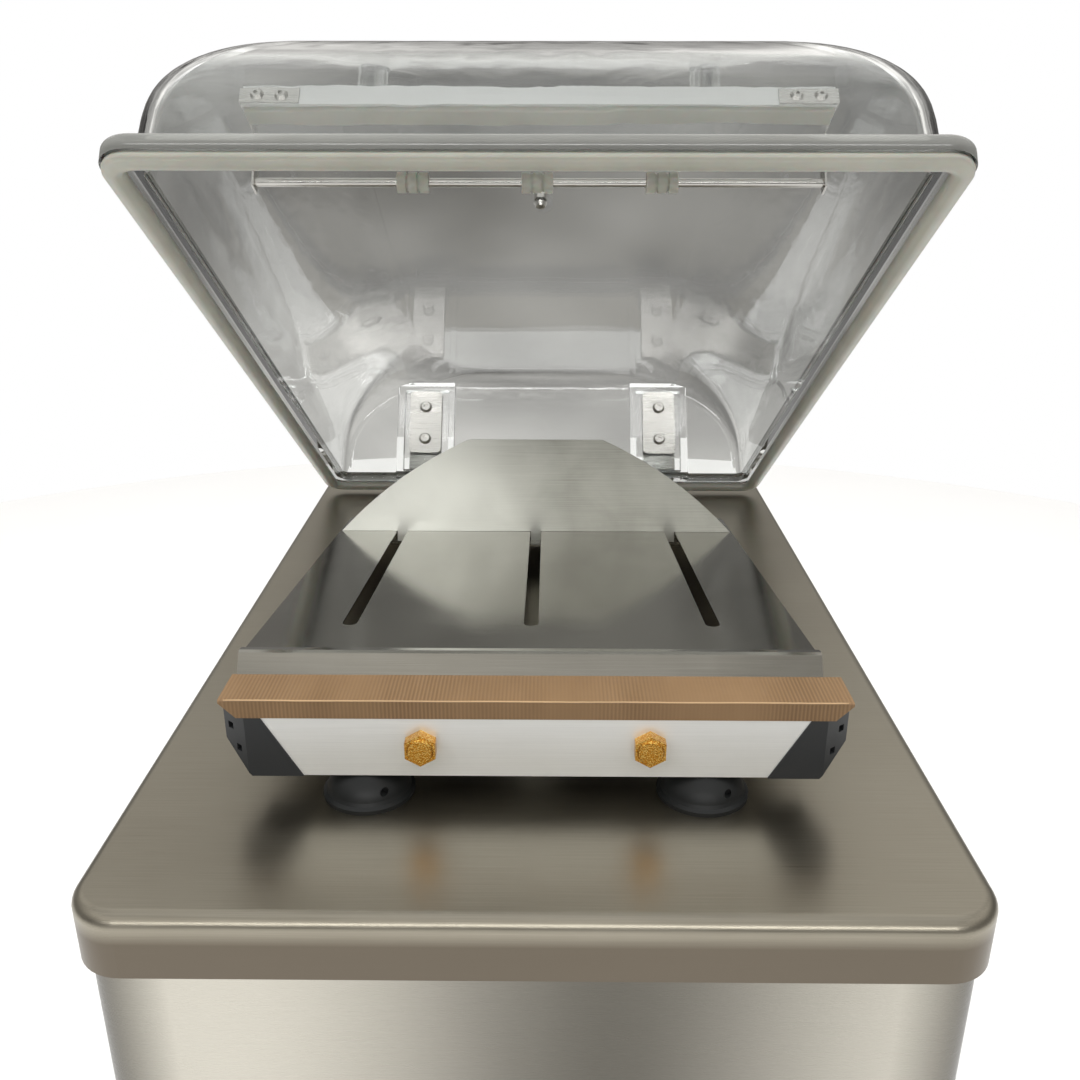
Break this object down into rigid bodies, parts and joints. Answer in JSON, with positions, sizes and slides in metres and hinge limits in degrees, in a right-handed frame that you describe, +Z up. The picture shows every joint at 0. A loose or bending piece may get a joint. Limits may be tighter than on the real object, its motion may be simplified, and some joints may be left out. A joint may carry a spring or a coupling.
{
  "type": "vacuum packing machine",
  "caption": "Floor-standing single-chamber vacuum packer on castors, with a clear domed lid, a lifting seal bar, a sloping tray with a sliding backstop, and a stainless cabinet.",
  "frame": {"origin": "on the floor, under the middle of the deck", "axes": "+X to the machine's right as seen from the front, +Y to the rear where the lid is hinged, +Z up"},
  "size_m": [0.57, 0.9201, 1.3806],
  "materials": {
    "stainless_deck": "satin",
    "stainless_cabinet": "brushed",
    "stainless_bright": "polished",
    "stainless_fittings": "satin",
    "aluminium_satin": "satin anodised",
    "ptfe_tape": "woven ptfe tape",
    "black_plastic": "moulded",
    "clear_acrylic": "clear polished",
    "cream_silicone": "translucent",
    "brass": "bright",
    "zinc_steel": "zinc plated",
    "wheel_rubber": "moulded",
    "pedal_red": "moulded",
    "panel_overlay": "satin overlay",
    "dark_window": "gloss",
    "key_grey": "satin",
    "needle_black": "painted",
    "pump_paint": "semi-gloss",
    "hose_black": "matt",
    "iron_core": "varnished laminations",
    "valve_brass": "machined",
    "circuit_board": "solder resist"
  },
  "bodies": {
    "cabinet": {"deck_plate": "stainless_deck", "cabinet_shell": "stainless_cabinet", "base_tray": "stainless_cabinet", "rear_service_panel": "stainless_cabinet", "control_panel": "panel_overlay", "display_window": "dark_window", "gauge_case": "black_plastic", "mains_gland": "black_plastic", "castor_plates": "zinc_steel", "pump_body": "pump_paint", "pump_motor": "pump_paint", "exhaust_filter": "pump_paint", "seal_transformer": "iron_core", "vacuum_pipe": "hose_black", "deck_port": "aluminium_satin", "solenoid_valve": "valve_brass", "control_board": "circuit_board", "lift_cups": "black_plastic", "lift_cylinders": "aluminium_satin", "hinge_bearings": "aluminium_satin", "lid_springs": "stainless_fittings", "spring_anchor": "stainless_cabinet", "lid_switch": "black_plastic"},
    "lid": {"lid_shell": "clear_acrylic", "lid_gasket": "cream_silicone", "hinge_arms": "stainless_fittings", "hinge_backing_plates": "stainless_fittings", "lid_screws": "stainless_fittings", "hinge_shaft": "stainless_fittings", "spring_levers": "stainless_fittings", "counter_bar": "aluminium_satin", "counter_strip": "cream_silicone", "counter_posts": "clear_acrylic", "counter_brackets": "stainless_fittings", "bag_rod": "stainless_fittings", "bag_rod_collars": "cream_silicone"},
    "seal_bar": {"lift_pistons": "stainless_fittings", "seal_bar_rail": "aluminium_satin", "seal_bar_end_caps": "black_plastic", "seal_bar_heater": "ptfe_tape", "seal_bar_bolts": "brass"},
    "tray": {"product_tray": "stainless_bright"},
    "backstop_plate": {"backstop": "stainless_bright"},
    "stop_button": {"emergency_stop": "pedal_red"},
    "switch_knob": {"power_switch": "black_plastic"},
    "needle": {"gauge_needle": "needle_black"},
    "button_1": {"panel_button_1": "key_grey"},
    "button_2": {"panel_button_2": "key_grey"},
    "button_3": {"panel_button_3": "key_grey"},
    "button_4": {"panel_button_4": "key_grey"},
    "fork_front_left": {"castor_fork_front_left": "zinc_steel"},
    "wheel_front_left": {"castor_wheel_front_left": "wheel_rubber"},
    "brake_front_left": {"castor_brake_front_left": "pedal_red"},
    "fork_front_right": {"castor_fork_front_right": "zinc_steel"},
    "wheel_front_right": {"castor_wheel_front_right": "wheel_rubber"},
    "brake_front_right": {"castor_brake_front_right": "pedal_red"},
    "fork_rear_left": {"castor_fork_rear_left": "zinc_steel"},
    "wheel_rear_left": {"castor_wheel_rear_left": "wheel_rubber"},
    "fork_rear_right": {"castor_fork_rear_right": "zinc_steel"},
    "wheel_rear_right": {"castor_wheel_rear_right": "wheel_rubber"}
  },
  "joints": [
    {"name": "lid_hinge", "type": "hinge", "parent": "cabinet", "child": "lid", "pos_m": [0, 0.3515, 0.85], "axis": [-1, 0, 0], "range_deg": [-33.9, 0], "stiffness_Nm_per_rad": 26, "springref_deg": 71.62, "deforming": ["lid_springs"]},
    {"name": "seal_bar_lift", "type": "slide", "parent": "cabinet", "child": "seal_bar", "axis": [0, 0, 1], "range_m": [0, 0.012]},
    {"name": "tray_lift_off", "type": "slide", "parent": "cabinet", "child": "tray", "axis": [0, 0, 1], "range_m": [0, 0.06]},
    {"name": "backstop_slide", "type": "slide", "parent": "tray", "child": "backstop_plate", "axis": [0, -0.993, 0.1184], "range_m": [0, 0.3]},
    {"name": "emergency_stop_press", "type": "slide", "parent": "cabinet", "child": "stop_button", "axis": [0, 1, 0], "range_m": [0, 0.005], "stiffness_N_per_m": 1500},
    {"name": "power_switch_turn", "type": "hinge", "parent": "cabinet", "child": "switch_knob", "pos_m": [-0.132, -0.4365, 0.616], "axis": [0, 1, 0], "range_deg": [0, 90]},
    {"name": "gauge_needle_turn", "type": "hinge", "parent": "cabinet", "child": "needle", "pos_m": [0.128, -0.4405, 0.65], "axis": [0, 1, 0], "range_deg": [0, 270], "stiffness_Nm_per_rad": 0.002},
    {"name": "button_1_press", "type": "slide", "parent": "cabinet", "child": "button_1", "axis": [0, 1, 0], "range_m": [0, 0.0015], "stiffness_N_per_m": 600},
    {"name": "button_2_press", "type": "slide", "parent": "cabinet", "child": "button_2", "axis": [0, 1, 0], "range_m": [0, 0.0015], "stiffness_N_per_m": 600},
    {"name": "button_3_press", "type": "slide", "parent": "cabinet", "child": "button_3", "axis": [0, 1, 0], "range_m": [0, 0.0015], "stiffness_N_per_m": 600},
    {"name": "button_4_press", "type": "slide", "parent": "cabinet", "child": "button_4", "axis": [0, 1, 0], "range_m": [0, 0.0015], "stiffness_N_per_m": 600},
    {"name": "castor_swivel_front_left", "type": "hinge", "parent": "cabinet", "child": "fork_front_left", "pos_m": [-0.217, -0.3665, 0.088], "axis": [0, 0, 1], "continuous": true},
    {"name": "castor_spin_front_left", "type": "hinge", "parent": "fork_front_left", "child": "wheel_front_left", "pos_m": [-0.217, -0.3385, 0.0375], "axis": [1, 0, 0], "continuous": true},
    {"name": "castor_brake_front_left", "type": "hinge", "parent": "fork_front_left", "child": "brake_front_left", "pos_m": [-0.217, -0.3085, 0.08], "axis": [1, 0, 0], "range_deg": [0, 20]},
    {"name": "castor_swivel_front_right", "type": "hinge", "parent": "cabinet", "child": "fork_front_right", "pos_m": [0.217, -0.3665, 0.088], "axis": [0, 0, 1], "continuous": true},
    {"name": "castor_spin_front_right", "type": "hinge", "parent": "fork_front_right", "child": "wheel_front_right", "pos_m": [0.217, -0.3385, 0.0375], "axis": [1, 0, 0], "continuous": true},
    {"name": "castor_brake_front_right", "type": "hinge", "parent": "fork_front_right", "child": "brake_front_right", "pos_m": [0.217, -0.3085, 0.08], "axis": [1, 0, 0], "range_deg": [0, 20]},
    {"name": "castor_swivel_rear_left", "type": "hinge", "parent": "cabinet", "child": "fork_rear_left", "pos_m": [-0.217, 0.3665, 0.088], "axis": [0, 0, 1], "continuous": true},
    {"name": "castor_spin_rear_left", "type": "hinge", "parent": "fork_rear_left", "child": "wheel_rear_left", "pos_m": [-0.217, 0.3945, 0.0375], "axis": [1, 0, 0], "continuous": true},
    {"name": "castor_swivel_rear_right", "type": "hinge", "parent": "cabinet", "child": "fork_rear_right", "pos_m": [0.217, 0.3665, 0.088], "axis": [0, 0, 1], "continuous": true},
    {"name": "castor_spin_rear_right", "type": "hinge", "parent": "fork_rear_right", "child": "wheel_rear_right", "pos_m": [0.217, 0.3945, 0.0375], "axis": [1, 0, 0], "continuous": true}
  ]
}
